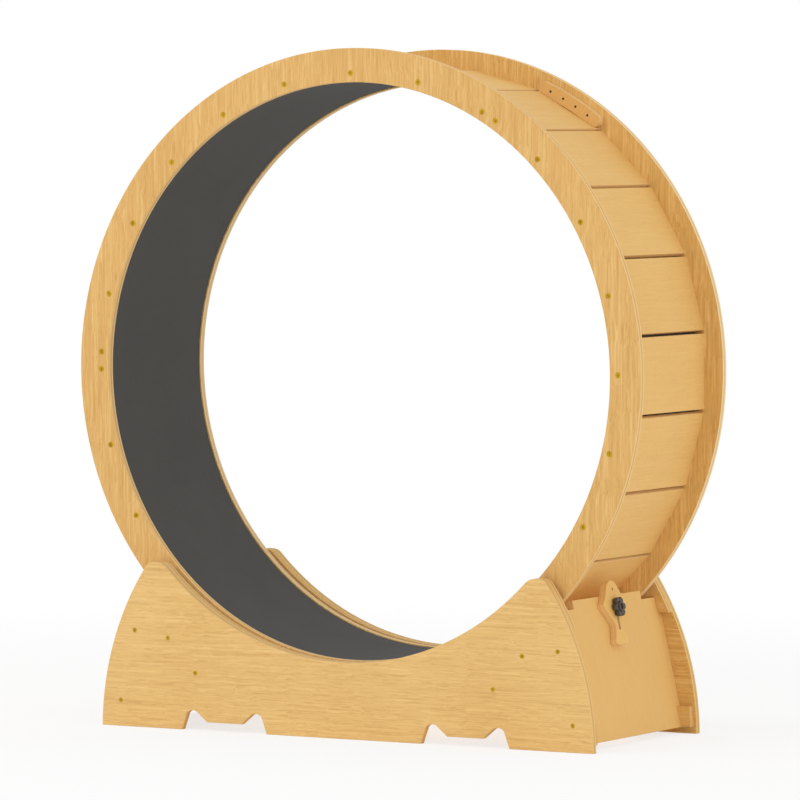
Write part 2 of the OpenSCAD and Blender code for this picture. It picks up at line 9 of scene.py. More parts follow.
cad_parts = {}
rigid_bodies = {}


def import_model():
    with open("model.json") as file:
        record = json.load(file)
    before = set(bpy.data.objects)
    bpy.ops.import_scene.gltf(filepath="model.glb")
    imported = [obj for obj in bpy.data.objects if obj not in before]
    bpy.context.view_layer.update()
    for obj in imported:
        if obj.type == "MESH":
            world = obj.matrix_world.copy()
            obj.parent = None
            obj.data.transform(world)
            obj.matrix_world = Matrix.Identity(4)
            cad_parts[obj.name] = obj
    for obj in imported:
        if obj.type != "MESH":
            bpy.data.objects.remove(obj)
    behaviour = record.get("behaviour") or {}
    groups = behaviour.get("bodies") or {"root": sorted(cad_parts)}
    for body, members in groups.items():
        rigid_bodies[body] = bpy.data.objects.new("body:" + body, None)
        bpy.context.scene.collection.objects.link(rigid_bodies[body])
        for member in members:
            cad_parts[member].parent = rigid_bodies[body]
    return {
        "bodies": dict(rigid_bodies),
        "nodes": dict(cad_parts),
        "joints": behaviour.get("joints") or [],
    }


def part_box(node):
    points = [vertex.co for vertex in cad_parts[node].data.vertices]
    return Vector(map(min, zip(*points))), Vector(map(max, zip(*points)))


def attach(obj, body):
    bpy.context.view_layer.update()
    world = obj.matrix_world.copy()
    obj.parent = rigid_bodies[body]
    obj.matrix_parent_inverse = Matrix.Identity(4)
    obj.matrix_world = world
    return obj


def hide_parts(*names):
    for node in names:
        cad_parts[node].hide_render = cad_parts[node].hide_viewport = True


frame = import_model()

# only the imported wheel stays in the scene
packed = set(frame["nodes"].values()) | set(frame["bodies"].values())
for leftover in [o for o in bpy.data.objects if o not in packed]:
    bpy.data.objects.remove(leftover)
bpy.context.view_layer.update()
nodes = frame["nodes"]
joints = {j["name"]: j for j in frame["joints"]}
axle = Vector(joints["wheel_turn"]["pos_m"])
print("frame loaded:", len(nodes), "nodes")


class Amount:
    # a socket that can be written in sums
    def __init__(self, finish, socket):
        self.finish, self.socket = finish, socket

    def __add__(self, other):
        return self.finish.math("ADD", self, other)

    def __radd__(self, other):
        return self.finish.math("ADD", other, self)

    def __sub__(self, other):
        return self.finish.math("SUBTRACT", self, other)

    def __rsub__(self, other):
        return self.finish.math("SUBTRACT", other, self)

    def __mul__(self, other):
        return self.finish.math("MULTIPLY", self, other)

    def __rmul__(self, other):
        return self.finish.math("MULTIPLY", other, self)

    def __abs__(self):
        return self.finish.math("ABSOLUTE", self)


class Finish:
    def __init__(self, name, tree=None):
        if tree is None:
            self.material = bpy.data.materials.new(name)
            self.material.use_nodes = True
            tree = self.material.node_tree
        self.tree = tree
        tree.nodes.clear()

    def add(self, kind, settings=None, sockets=None, out=0):
        node = self.tree.nodes.new(kind)
        for key, value in (settings or {}).items():
            setattr(node, key, value)
        for key, value in (sockets or {}).items():
            target = node.inputs[key]
            if isinstance(value, Amount):
                self.tree.links.new(value.socket, target)
            else:
                target.default_value = value
        return Amount(self, node.outputs[out]) if node.outputs else node

    def math(self, operation, *values):
        return self.add("ShaderNodeMath", {"operation": operation}, dict(enumerate(values)))

    def vector(self, operation, a, b):
        return self.add("ShaderNodeVectorMath", {"operation": operation}, {0: a, 1: b})

    def scaled(self, a, amount):
        return self.add("ShaderNodeVectorMath", {"operation": "SCALE"}, {0: a, "Scale": amount})

    def mix(self, a, b, amount):
        return self.add("ShaderNodeMix", {"data_type": "RGBA", "blend_type": "MIX", "clamp_factor": True},
                        {0: amount, 6: a, 7: b}, out=2)

    def between(self, value, low, high):
        return self.add("ShaderNodeMapRange", {"clamp": True, "interpolation_type": "SMOOTHSTEP"},
                        {"Value": value, "From Min": low, "From Max": high})

    def noise(self, where, detail=2.0, rough=0.5):
        return self.add("ShaderNodeTexNoise", {"noise_dimensions": "3D"},
                        {"Vector": where, "Scale": 1.0, "Detail": detail, "Roughness": rough})

    def place(self):
        return self.add("ShaderNodeTexCoord", out=3)

    def attribute(self, name):
        return self.add("ShaderNodeAttribute", {"attribute_name": name}, out=2)

    def bump(self, height, strength, distance):
        return self.add("ShaderNodeBump", {}, {"Height": height, "Strength": strength, "Distance": distance})

    def surface(self, sockets):
        shader = self.add("ShaderNodeBsdfPrincipled", {}, sockets)
        self.add("ShaderNodeOutputMaterial", {}, {"Surface": shader})
        return self.material


def paint(red, green, blue):
    # a colour as seen on screen, 0 to 255, in the shader's own scale
    def linear(c):
        c /= 255
        return c / 12.92 if c <= 0.04045 else ((c + 0.055) / 1.055) ** 2.4
    return (linear(red), linear(green), linear(blue), 1.0)


studio = {
    "fill": 0.86,                # light from all round
    "aim": (0.0, 0.0, 0.45),     # what the two big lamps point at
    "lampSize": 1.8,
    "keyPlace": (-1.8, -2.9, 3.0),
    "keyPower": 30.0,
    "sidePlace": (3.9, -2.1, 0.6),
    "sidePower": 24.0,
    "lowPlace": (0.05, 0.0, 0.012),      # a flat lamp on the floor inside the base, facing up
    "lowSize": (0.70, 0.10),
    "lowPower": 0.6,
    "floorTone": 0.93,
    "floorGlow": 0.75,           # how much of the floor's white the shadow doesn't reach
    "floorReach": 36.0,
    "floorSides": 64,
    "whiteRange": (1.1, 2.6),    # between these distances the floor turns plain white
}
camera = {
    "place": (4.6779, -8.1832, 0.9675),
    "yaw": 29.749,
    "pitch": 2.737,
    "roll": 0.039,
    "lens": 271.19,
    "sensor": 36.0,
    "near": 0.1,
    "far": 60.0,
}


def setUp(name, data):
    holder = bpy.data.objects.new(name, data)
    bpy.context.scene.collection.objects.link(holder)
    return holder


def seenRays(f):
    # 1 for what the camera sees, straight or in a mirror or through glass
    straight = f.add("ShaderNodeLightPath", out="Is Camera Ray")
    mirrored = f.add("ShaderNodeLightPath", out="Is Glossy Ray")
    through = f.add("ShaderNodeLightPath", out="Is Transmission Ray")
    return f.math("MAXIMUM", f.math("MAXIMUM", straight, mirrored), through)


def makeAir():
    world = bpy.data.worlds.new("studioWorld")
    bpy.context.scene.world = world
    world.use_nodes = True
    air = Finish("studioWorld", world.node_tree)
    strength = studio["fill"] + seenRays(air) * (1 - studio["fill"])
    sky = air.add("ShaderNodeBackground", {}, {"Color": (1, 1, 1, 1), "Strength": strength})
    air.add("ShaderNodeOutputWorld", {}, {"Surface": sky})


def makeLamps():
    for name in ("key", "side"):
        lamp = bpy.data.lights.new(name + "Lamp", "AREA")
        lamp.energy, lamp.size = studio[name + "Power"], studio["lampSize"]
        holder = setUp(name + "Lamp", lamp)
        holder.location = studio[name + "Place"]
        towards = Vector(studio["aim"]) - Vector(studio[name + "Place"])
        holder.rotation_euler = towards.to_track_quat("-Z", "Y").to_euler()
        holder.visible_camera = False

    lamp = bpy.data.lights.new("lowLamp", "AREA")
    lamp.shape, lamp.size, lamp.size_y = "RECTANGLE", *studio["lowSize"]
    lamp.energy = studio["lowPower"]
    holder = setUp("lowLamp", lamp)
    holder.location = studio["lowPlace"]
    holder.rotation_euler = (pi, 0, 0)
    holder.visible_camera = False


def makeFloor():
    mesh = bpy.data.meshes.new("floor")
    shape = bmesh.new()
    bmesh.ops.create_circle(shape, cap_ends=True, segments=studio["floorSides"], radius=studio["floorReach"])
    shape.to_mesh(mesh)
    shape.free()
    cloth = Finish("floorPaint")
    away = cloth.add("ShaderNodeVectorMath", {"operation": "LENGTH"}, {0: cloth.place()}, out=1)
    tone, glowing = studio["floorTone"], studio["floorGlow"]
    lit = cloth.add("ShaderNodeBsdfDiffuse", {}, {"Color": (tone, tone, tone, 1)})
    glow = cloth.add("ShaderNodeEmission", {}, {"Color": (1, 1, 1, 1), "Strength": 1.0})
    white = seenRays(cloth) * (glowing + cloth.between(away, *studio["whiteRange"]) * (1 - glowing))
    mixed = cloth.add("ShaderNodeMixShader", {}, {0: white, 1: lit, 2: glow})
    cloth.add("ShaderNodeOutputMaterial", {}, {"Surface": mixed})
    mesh.materials.append(cloth.material)
    floor = setUp("floor", mesh)


def makeCamera():
    view = bpy.data.cameras.new("photoCamera")
    view.lens, view.sensor_width = camera["lens"], camera["sensor"]
    view.clip_start, view.clip_end = camera["near"], camera["far"]
    holder = setUp("photoCamera", view)
    turn = (Matrix.Rotation(radians(camera["yaw"]), 4, "Z")
            @ Matrix.Rotation(pi / 2 - radians(camera["pitch"]), 4, "X")
            @ Matrix.Rotation(radians(camera["roll"]), 4, "Z"))
    holder.matrix_world = Matrix.Translation(camera["place"]) @ turn
    bpy.context.scene.camera = holder


bpy.context.scene.view_settings.view_transform = "Standard"
makeAir()
makeLamps()
makeFloor()
makeCamera()
print("studio ready")

lean = radians(13.2)         # of the end panels, away from upright
ringTones = {"light": paint(229, 185, 115), "dark": paint(210, 160, 88)}
# tones matched where the rear faces lie in shade; darker than the front panels' tones, so on the rear panels
# this is painted shade
rearShadedTones = {"light": paint(230, 188, 114), "dark": paint(207, 159, 85)}
panelTones = {"light": paint(238, 199, 131), "dark": paint(219, 172, 102)}
slatTones = {"light": paint(239, 196, 123), "dark": paint(222, 174, 99)}
slideTones = {"light": paint(243, 200, 121), "dark": paint(223, 172, 92)}
panelCuts = {"plies": 3, "layers": 0.75, "cutLight": paint(238, 200, 134), "cutDark": paint(208, 162, 96)}
wood = {
    # "turn" lays the grain along the board, "strength" is how strongly it shows
    "rings": {**ringTones, "turn": (0, pi / 2, 0), "strength": 0.95, "plies": 3, "layers": 0.85},
    # the rear rings' cut edges are painted paler than the other rings': painted light on the inner rim, which
    # lies in shade inside the drum
    "rearRings": {**rearShadedTones, "turn": (0, pi / 2, 0), "strength": 1.2, "plies": 3, "layers": 0.7,
                  "cutLight": paint(248, 224, 180), "cutDark": paint(228, 188, 130)},
    "panels": {**panelTones, **panelCuts, "turn": (0, 0, 0), "strength": 0.85},
    # the rear panels are the front panels' wood, painted darker as painted shade
    "rearPanelsPaintedShade": {**rearShadedTones, **panelCuts, "turn": (0, 0, 0), "strength": 1.1},
    "slats": {**slatTones, "turn": (0, 0, -pi / 2), "strength": 0.25},
    "endRight": {**slatTones, "turn": (0, pi / 2 + lean, 0), "strength": 0.12},
    "endLeft": {**slatTones, "turn": (0, pi / 2 - lean, 0), "strength": 0.12},
    "boards": {**ringTones, "turn": (0, 0, -pi / 2), "strength": 0.6},
    "blocks": {**ringTones, **panelCuts, "turn": (0, 0, 0), "strength": 0.6},
    "plates": {**ringTones, "turn": (0, pi / 4, 0), "strength": 0.35},
    "slide": {**slideTones, "turn": (0, pi / 2 + lean, 0), "strength": 0.3},
}
grain = {
    # sizes are bends or marks per metre, along the grain and across it
    "boardStep": (3.1, 1.7, 2.3),        # how far one board's figure lies from the next one's
    "waves": (17.0, 9.0, 9.0),
    "waveSize": 0.012,
    "waveLean": (0.0, 1.0, 0.7),
    "streaks": (6.5, 190.0, 190.0),      # the broader streaks
    "streakDetail": 0.55,
    "threads": (8.0, 340.0, 340.0),      # the finer ones between them
    "threadDetail": 0.6,
    "pores": (60.0, 1500.0, 1500.0),
    "poreRange": (0.60, 0.74),
    "clouds": 5.0,
    # where in a streak's noise its dark, thin and pale parts lie, and in a thread's
    "darkRange": (0.50, 0.68),
    "lineAt": 0.47,
    "lineRange": (0.006, 0.034),
    "paleRange": (0.32, 0.48),
    "darkThread": (0.52, 0.68),
    "paleThread": (0.32, 0.47),
    # how much of each shows
    "deep": 0.42,
    "cloudShare": 0.6,
    "boardShare": 0.12,
    "darkShare": 0.16,
    "lineShare": 0.24,
    "paleShare": 0.24,
    "threadShare": 0.28,
    "poreShare": 0.16,
    "darkLine": paint(184, 132, 66),
    "paleLine": paint(247, 212, 146),
    "poreTone": paint(168, 118, 60),
    # cut edges: thin sheets glued crosswise
    "plies": 5,
    "layers": 0.45,              # how much darker every other sheet is
    "fibres": 900.0,
    "fibreShare": 0.25,
    "glueWidth": 0.09,
    "glueShare": 0.25,
    "edgeRange": (0.86, 0.965),  # from a board's middle to its face, where the cut look ends
    "edgeShare": 0.8,
    # paler than the faces: partly the plywood edges' own tone, partly painted light, as the rims get less
    # light than the faces
    "cutLight": paint(243, 208, 151),
    "cutDark": paint(220, 173, 106),
    "glueLine": paint(166, 116, 60),
    "rough": 0.50,
    "roughStreak": 0.10,
    "roughPore": 0.12,
    "roughEdge": 0.15,
    "shine": 0.2,
    "liftStreak": 0.4,
    "liftPore": 0.4,
    "liftFibre": 0.6,
    "bump": 0.22,
    "bumpSize": 0.0005,
}


def woodFinish(name, own):
    look = {**grain, **own}
    f = Finish(name)
    strength = look["strength"]
    board = f.attribute("boardShift")
    here = f.vector("ADD", f.place(), f.scaled(look["boardStep"], board))
    along = f.add("ShaderNodeMapping", {"vector_type": "POINT"}, {"Vector": here, "Rotation": look["turn"]})
    bend = f.noise(f.vector("MULTIPLY", along, look["waves"])) - 0.5
    wavy = f.vector("ADD", along, f.scaled(look["waveLean"], bend * look["waveSize"]))
    streak = f.noise(f.vector("MULTIPLY", wavy, look["streaks"]), rough=look["streakDetail"])
    thread = f.noise(f.vector("MULTIPLY", wavy, look["threads"]), rough=look["threadDetail"])
    pore = f.between(f.noise(f.vector("MULTIPLY", wavy, look["pores"]), 1.0), *look["poreRange"])
    cloud = f.noise(f.scaled(here, look["clouds"]), 1.0)
    darkStreak = f.between(streak, *look["darkRange"])
    line = 1 - f.between(abs(streak - look["lineAt"]), *look["lineRange"])
    paleStreak = 1 - f.between(streak, *look["paleRange"])
    deep = look["deep"] + (cloud - 0.5) * look["cloudShare"] + (board - 0.5) * look["boardShare"]
    face = f.mix(look["light"], look["dark"], deep)
    dark = (darkStreak * look["darkShare"] + line * look["lineShare"]
            + f.between(thread, *look["darkThread"]) * look["threadShare"]) * strength
    face = f.mix(face, look["darkLine"], dark)
    pale = (paleStreak * look["paleShare"]
            + (1 - f.between(thread, *look["paleThread"])) * look["threadShare"]) * strength
    face = f.mix(face, look["paleLine"], pale)
    face = f.mix(face, look["poreTone"], pore * look["poreShare"])

    depth = f.attribute("plyDepth")
    layer = (depth * 0.5 + 0.5) * look["plies"]
    inLayer = f.math("FRACT", layer)
    # 1 in every other sheet, 0 in the ones between
    crosswise = f.math("GREATER_THAN", f.math("FRACT", layer * 0.5 + 0.001), 0.5)
    fibre = f.noise(f.scaled(here, look["fibres"]))
    cut = f.mix(look["cutLight"], look["cutDark"], crosswise * look["layers"] + fibre * look["fibreShare"])
    glue = 1 - f.between(abs(inLayer - 0.5) * -1 + 0.5, 0.0, look["glueWidth"])
    cut = f.mix(cut, look["glueLine"], glue * look["glueShare"])
    edge = 1 - f.between(abs(depth), *look["edgeRange"])
    colour = f.mix(face, cut, edge * look["edgeShare"])
    rough = look["rough"] + streak * look["roughStreak"] + pore * look["roughPore"] + edge * look["roughEdge"]
    height = ((paleStreak - darkStreak - line) * (look["liftStreak"] * strength) + (thread - 0.5) * strength
              - pore * look["liftPore"] + fibre * edge * look["liftFibre"])
    return f.surface({"Base Color": colour, "Roughness": rough, "Specular IOR Level": look["shine"],
                      "Normal": f.bump(height, look["bump"], look["bumpSize"])})


foamLook = {
    "pale": paint(92, 91, 88),
    "dark": paint(70, 69, 67),
    "cells": 900.0,              # marks per metre
    "cellDetail": 0.6,
    "nap": 260.0,
    "worn": 9.0,
    "shares": (0.45, 0.25, 0.30),
    "rough": 0.86,
    "roughCells": 0.10,
    "shine": 0.25,
    "liftCells": 0.7,
    "liftNap": 0.5,
    "bump": 0.35,
    "bumpSize": 0.0006,
}


def foamFinish(name, look):
    f = Finish(name)
    here = f.place()
    cells = f.noise(f.scaled(here, look["cells"]), rough=look["cellDetail"])
    nap = f.noise(f.scaled(here, look["nap"]))
    worn = f.noise(f.scaled(here, look["worn"]))
    ofCells, ofNap, ofWorn = look["shares"]
    tone = cells * ofCells + nap * ofNap + worn * ofWorn
    height = cells * look["liftCells"] + nap * look["liftNap"]
    return f.surface({"Base Color": f.mix(look["dark"], look["pale"], tone),
                      "Roughness": look["rough"] + cells * look["roughCells"],
                      "Specular IOR Level": look["shine"],
                      "Normal": f.bump(height, look["bump"], look["bumpSize"])})


metalLook = {
    "stains": 120.0,             # marks per metre
    "stainRange": (0.35, 0.75),
    "stainShare": 0.7,
    "roughStain": 0.10,
    "marks": 700.0,
    "markDetail": 0.7,
    "markShare": 0.2,
    "roughMark": 0.14,
    "scratch": (1, 1, 1),        # smaller numbers draw the marks out along that axis
    "metallic": 1.0,
    "bump": 0.10,
    "bumpSize": 0.0002,
}
metals = {
    "brassScrew": {"bright": paint(202, 164, 48), "dull": paint(166, 130, 36), "rough": 0.36},
    "blackScrew": {"bright": paint(44, 43, 44), "dull": paint(24, 24, 25), "rough": 0.42, "metallic": 0.6},
    "zincSteel": {"bright": paint(196, 198, 202), "dull": paint(160, 163, 168), "rough": 0.30,
                  "scratch": (1, 0.06, 1)},
    "paleScrew": {"bright": paint(232, 194, 132), "dull": paint(208, 166, 104), "rough": 0.55,
                  "metallic": 0.1},
}


def metalFinish(name):
    look = {**metalLook, **metals[name]}
    f = Finish(name)
    here = f.place()
    stain = f.noise(f.scaled(here, look["stains"]), 3.0)
    marks = f.noise(f.vector("MULTIPLY", f.scaled(here, look["marks"]), look["scratch"]), 3.0,
                    look["markDetail"])
    dulled = f.between(stain, *look["stainRange"]) * look["stainShare"] + marks * look["markShare"]
    return f.surface({"Base Color": f.mix(look["bright"], look["dull"], dulled), "Metallic": look["metallic"],
                      "Roughness": look["rough"] + marks * look["roughMark"] + stain * look["roughStain"],
                      "Normal": f.bump(marks, look["bump"], look["bumpSize"])})


plasticLook = {
    "skin": 1500.0,              # marks per metre
    "skinShare": 0.25,
    "roughSkin": 0.12,
    "tints": 60.0,
    "tintShare": 0.5,
    "bump": 0.18,
    "bumpSize": 0.0002,
}
plastics = {
    "rollerPlastic": {"dark": paint(44, 44, 46), "pale": paint(62, 62, 64), "rough": 0.48},
    "knobPlastic": {"dark": paint(62, 54, 46), "pale": paint(90, 80, 68), "rough": 0.42},
}


def plasticFinish(name):
    look = {**plasticLook, **plastics[name]}
    f = Finish(name)
    here = f.place()
    skin = f.noise(f.scaled(here, look["skin"]))
    tint = f.noise(f.scaled(here, look["tints"]))
    tone = tint * look["tintShare"] + skin * look["skinShare"]
    return f.surface({"Base Color": f.mix(look["dark"], look["pale"], tone),
                      "Roughness": look["rough"] + skin * look["roughSkin"],
                      "Normal": f.bump(skin, look["bump"], look["bumpSize"])})


woods = {key: woodFinish(key + "Wood", look) for key, look in wood.items()}
foam = foamFinish("matFoam", foamLook)
brass = metalFinish("brassScrew")
blackScrew = metalFinish("blackScrew")
zinc = metalFinish("zincSteel")
paleScrew = metalFinish("paleScrew")
rollerPlastic = plasticFinish("rollerPlastic")
knobPlastic = plasticFinish("knobPlastic")
print("finishes ready:", len(bpy.data.materials))

tolerance = {
    "merge": 1e-6,
    "cut": 1e-7,
    "level": 1e-5,           # how far apart the ends of a level edge may lie
    "flat": 0.4,             # degrees: faces that meet flatter than this become one
    "corner": 28.0,          # degrees: only sharper edges than this are eased
}
yAxis = Vector((0, 1, 0))


def limited(value, low=0.0, high=1.0):
    return max(low, min(high, value))


def closedMesh(node):
    # the node's own mesh, its triangles joined to whole faces
    shape = bmesh.new()
    shape.from_mesh(nodes[node].data)
    bmesh.ops.remove_doubles(shape, verts=shape.verts, dist=tolerance["merge"])
    bmesh.ops.dissolve_limit(shape, angle_limit=radians(tolerance["flat"]), verts=shape.verts,
                             edges=shape.edges)
    return shape


def closedLine(shape, spots):
    ring = [shape.verts.new(spot) for spot in spots]
    return ring, [shape.edges.new((ring[i], ring[(i + 1) % len(ring)])) for i in range(len(ring))]


def islands(shape):
    # the points of each separate body in one mesh
    left, groups = set(shape.verts), []
    while left:
        group, front = set(), [left.pop()]
        while front:
            v = front.pop()
            group.add(v)
            for e in v.link_edges:
                w = e.other_vert(v)
                if w in left:
                    left.discard(w)
                    front.append(w)
        groups.append(group)
    return groups


def screwHeads(node):
    # middle, direction and radius of each head: a screw's largest face
    shape = closedMesh(node)
    found = []
    for group in islands(shape):
        faces = {f for v in group for f in v.link_faces}
        top = max(faces, key=lambda f: f.calc_area())
        centre = top.calc_center_median()
        radius = max((v.co - centre).length for v in top.verts)
        found.append((centre.copy(), top.normal.copy(), radius))
    shape.free()
    return sorted(found, key=lambda s: tuple(round(x, 5) for x in s[0]))


def finishPiece(shape, name, body, material, replaced, smooth=14):
    mesh = bpy.data.meshes.new(name)
    shape.to_mesh(mesh)
    shape.free()
    mesh.materials.clear()
    mesh.materials.append(material)
    for p in mesh.polygons:
        p.material_index = 0
        p.use_smooth = True
    mesh.set_sharp_from_angle(angle=radians(smooth))
    piece = setUp(name, mesh)
    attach(piece, body)
    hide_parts(*replaced)


def eased(shape, width, choose, segments=2):
    edges = []
    for e in shape.edges:
        if len(e.link_faces) == 2 and e.calc_face_angle(0) > radians(tolerance["corner"]) and choose(e):
            edges.append(e)
    bmesh.ops.bevel(shape, geom=edges, offset=width, offset_type="OFFSET", affect="EDGES",
                    segments=segments, profile=0.5, material=-1, clamp_overlap=False)


def setDepth(shape, middle, across, half, shift):
    # how far a point lies from the middle of its board, and the board's own number
    depth = shape.verts.layers.float.new("plyDepth")
    board = shape.verts.layers.float.new("boardShift")
    for v in shape.verts:
        v[depth] = limited((v.co - middle).dot(across) / half, -1.0)
        v[board] = shift


def uprightDepth(shape, node, shift):
    lo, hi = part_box(node)
    setDepth(shape, (lo + hi) / 2, yAxis, (hi.y - lo.y) / 2, shift)


def thickness(shape, out):
    # the middle and half the thickness of a board whose face looks along out
    far = [v.co.dot(out) for v in shape.verts]
    return out * (max(far) + min(far)) / 2, (max(far) - min(far)) / 2


screw = {
    "sides": 18,
    "sink": 0.00005,
    "fit": 0.995,            # the head's radius, as a share of its hole's
    "rim": 0.00025,
    "rimDrop": 0.6,
    "armWidth": 0.22,        # of the cross recess, as shares of the head's radius
    "armReach": 0.52,
    "taper": 0.55,           # the recess's floor, as a share of its mouth
    "depth": 0.0010,
    "neck": 0.45,            # the hidden end of the cone under the head, as a share of its radius
    "neckDepth": 0.0022,
    "wider": {"slat_screws": 1.27},
    "mouth": 0.0008,         # a hole's mouth lies this near to its head's face
    "mouthReach": 1.1,
    "clear": 0.0055,         # edges nearer to a screw than this stay sharp
    "smooth": 30,            # degrees: sharper edges than this stay crisp
}
screwNodes = ("slat_screws", "splice_screws", "panel_screws", "block_screws", "bracket_screws")
heads = {n: screwHeads(n) for n in screwNodes}
allHeads = [h for group in heads.values() for h in group]
print("screws found:", {n: len(h) for n, h in heads.items()})


def outline(e):
    # an edge of a board, not of a screw's hole
    return not any((v.co - centre).cross(out).length < screw["clear"]
                   for v in e.verts for centre, out, radius in allHeads)


def level(e):
    return abs(e.verts[0].co.y - e.verts[1].co.y) < tolerance["level"]


def widenHoles(shape, node):
    # the countersinks open out to the heads that the photograph shows
    for v in shape.verts:
        for centre, out, radius in heads[node]:
            off = v.co - centre
            up = off.dot(out)
            flat = off - out * up
            if abs(up) < screw["mouth"] and flat.length < radius * screw["mouthReach"]:
                v.co += flat * (screw["wider"][node] - 1)
                break


rings = {
    "outer": 0.500,
    "inner": 0.4472,
    "slack": 0.0006,         # how far a rim's edge may lie from those radii
    "spread": 0.002,         # and how far apart its two ends may lie
    "ease": 0.0010,
    "steps": 3,
    "shift": {"front": 0.3, "rear": 0.7},
    "wood": {"front": "rings", "rear": "rearRings"},
}


def ringRim(e):
    reach = [hypot(v.co.x, v.co.z - axle.z) for v in e.verts]
    out, inwards = rings["outer"] - rings["slack"], rings["inner"] + rings["slack"]
    onRim = all(r > out or r < inwards for r in reach)
    return onRim and abs(reach[0] - reach[1]) < rings["spread"] and level(e)


def makeRings():
    for face in ("front", "rear"):
        for part in (1, 2, 3):
            node = f"{face}_ring_{part}"
            shape = closedMesh(node)
            widenHoles(shape, "slat_screws")
            eased(shape, rings["ease"], ringRim, rings["steps"])
            uprightDepth(shape, node, rings["shift"][face])
            finishPiece(shape, f"{face}Ring{part}", "wheel", woods[rings["wood"][face]], [node])


slats = {
    "count": 24,
    "ease": 0.0007,
    "length": 0.2,           # only edges that reach further than this across the drum are eased
}


def makeSlats():
    for i in range(1, slats["count"] + 1):
        node = f"slat_{i:02d}"
        shape = closedMesh(node)
        lo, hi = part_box(node)
        middle = (lo + hi) / 2
        out = Vector((middle.x, 0, middle.z - axle.z)).normalized()
        half = max((v.co - middle).dot(out) for v in shape.verts)
        eased(shape, slats["ease"], lambda e: abs((e.verts[0].co - e.verts[1].co).y) > slats["length"])
        setDepth(shape, middle, out, half, random.Random(i).random())
        finishPiece(shape, f"slat{i:02d}", "wheel", woods["slats"], [node])


mat = {"lip": 0.0012, "lipMiddle": 0.3, "steps": 240}


def makeMat():
    lo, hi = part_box("running_mat")
    outer = (hi.x - lo.x) / 2
    source = closedMesh("running_mat")
    inner = min(hypot(v.co.x, v.co.z - axle.z) for v in source.verts)
    source.free()
    lip = mat["lip"]
    soft = lip * mat["lipMiddle"]
    shape = bmesh.new()
    spots = [(outer, lo.y), (outer, hi.y), (inner + lip, hi.y), (inner + soft, hi.y - soft),
             (inner, hi.y - lip), (inner, 0.0), (inner, lo.y + lip), (inner + soft, lo.y + soft),
             (inner + lip, lo.y)]
    ring, edges = closedLine(shape, [(r, y, axle.z) for r, y in spots])
    bmesh.ops.spin(shape, geom=ring + edges, cent=axle, axis=(0, 1, 0), angle=2 * pi, steps=mat["steps"],
                   use_merge=True)
    bmesh.ops.remove_doubles(shape, verts=shape.verts, dist=tolerance["merge"])
    bmesh.ops.recalc_face_normals(shape, faces=shape.faces)
    finishPiece(shape, "runningMat", "wheel", foam, ["running_mat"])


plates = {"ease": 0.0006, "shift": {"front": 0.5, "rear": 0.7}}


def makePlates():
    for face in ("front", "rear"):
        node = face + "_splice_plates"
        shape = closedMesh(node)
        eased(shape, plates["ease"], lambda e: level(e) and outline(e))
        uprightDepth(shape, node, plates["shift"][face])
        finishPiece(shape, face + "SplicePlates", "wheel", woods["plates"], [node])


hump = {
    "middle": 0.2135,        # of a foot cut-out, from the part's middle
    "height": 0.033,         # every cut-out lies below this
    # distances from the middle of a cut-out, where a hump's slopes begin and end
    "flatEnd": 0.030,
    "gentleTop": 0.0542,
    "steepTop": 0.0709,
    "outerEnd": 0.085,
    # how far the two slopes move towards that middle
    "steepShift": 0.0023,
    "gentleShift": 0.0053,
    # the height at which a hump begins to come down, over what rise, and how far
    "top": 0.0244,
    "rise": 0.0076,
    "lower": 0.0009,
    "rightOut": 0.0034,      # how much further out the right cut-outs lie
}


def roundHumps(shape):
    h = hump
    for v in shape.verts:
        side = 1 if v.co.x > 0 else -1
        off = abs(v.co.x) - h["middle"]
        if v.co.z > h["height"] or not h["flatEnd"] < abs(off) < h["outerEnd"]:
            continue
        v.co.x += h["rightOut"] * (side > 0)
        along = limited((h["steepTop"] - abs(off)) / (h["steepTop"] - h["gentleTop"]))
        shift = h["steepShift"] + (h["gentleShift"] - h["steepShift"]) * along
        v.co.x -= side * shift * (1 if off > 0 else -1)
        v.co.z -= h["lower"] * limited((v.co.z - h["top"]) / h["rise"])


panels = {
    "ease": 0.0010,
    "steps": 3,
    "shift": {"front": 0.13, "rear": 0.81},
    "wood": {"front": "panels", "rear": "rearPanelsPaintedShade"},
}


def makeSidePanels():
    for face in ("front", "rear"):
        node = face + "_side_panel"
        shape = closedMesh(node)
        roundHumps(shape)
        eased(shape, panels["ease"], lambda e: level(e) and outline(e), panels["steps"])
        uprightDepth(shape, node, panels["shift"][face])
        finishPiece(shape, face + "SidePanel", "base", woods[panels["wood"][face]], [node])


ends = {
    "ease": 0.0006,
    "sharp": 0.03,           # edges nearer to the middle than this stay sharp
    "shift": {"left": 0.32, "right": 0.52},
    "wood": {"left": "endLeft", "right": "endRight"},
}
boards = {"ease": 0.0004, "tilt": 46.6, "shift": {"left": 0.13, "right": 0.53}}


def makeEnds():
    for side, s in (("left", -1), ("right", 1)):
        node = side + "_end_panel"
        shape = closedMesh(node)
        out = Vector((s * cos(lean), 0, sin(lean)))
        middle, half = thickness(shape, out)
        eased(shape, ends["ease"],
              lambda e: outline(e) and max(abs(v.co.y) for v in e.verts) > ends["sharp"])
        setDepth(shape, middle, out, half, ends["shift"][side])
        finishPiece(shape, side + "EndPanel", "base", woods[ends["wood"][side]], [node])

        node = side + "_roller_board"
        shape = closedMesh(node)
        tilt = radians(boards["tilt"])
        out = Vector((-s * sin(tilt), 0, cos(tilt)))
        middle, half = thickness(shape, out)
        eased(shape, boards["ease"], outline)
        setDepth(shape, middle, out, half, boards["shift"][side])
        finishPiece(shape, side + "RollerBoard", "base", woods["boards"], [node])


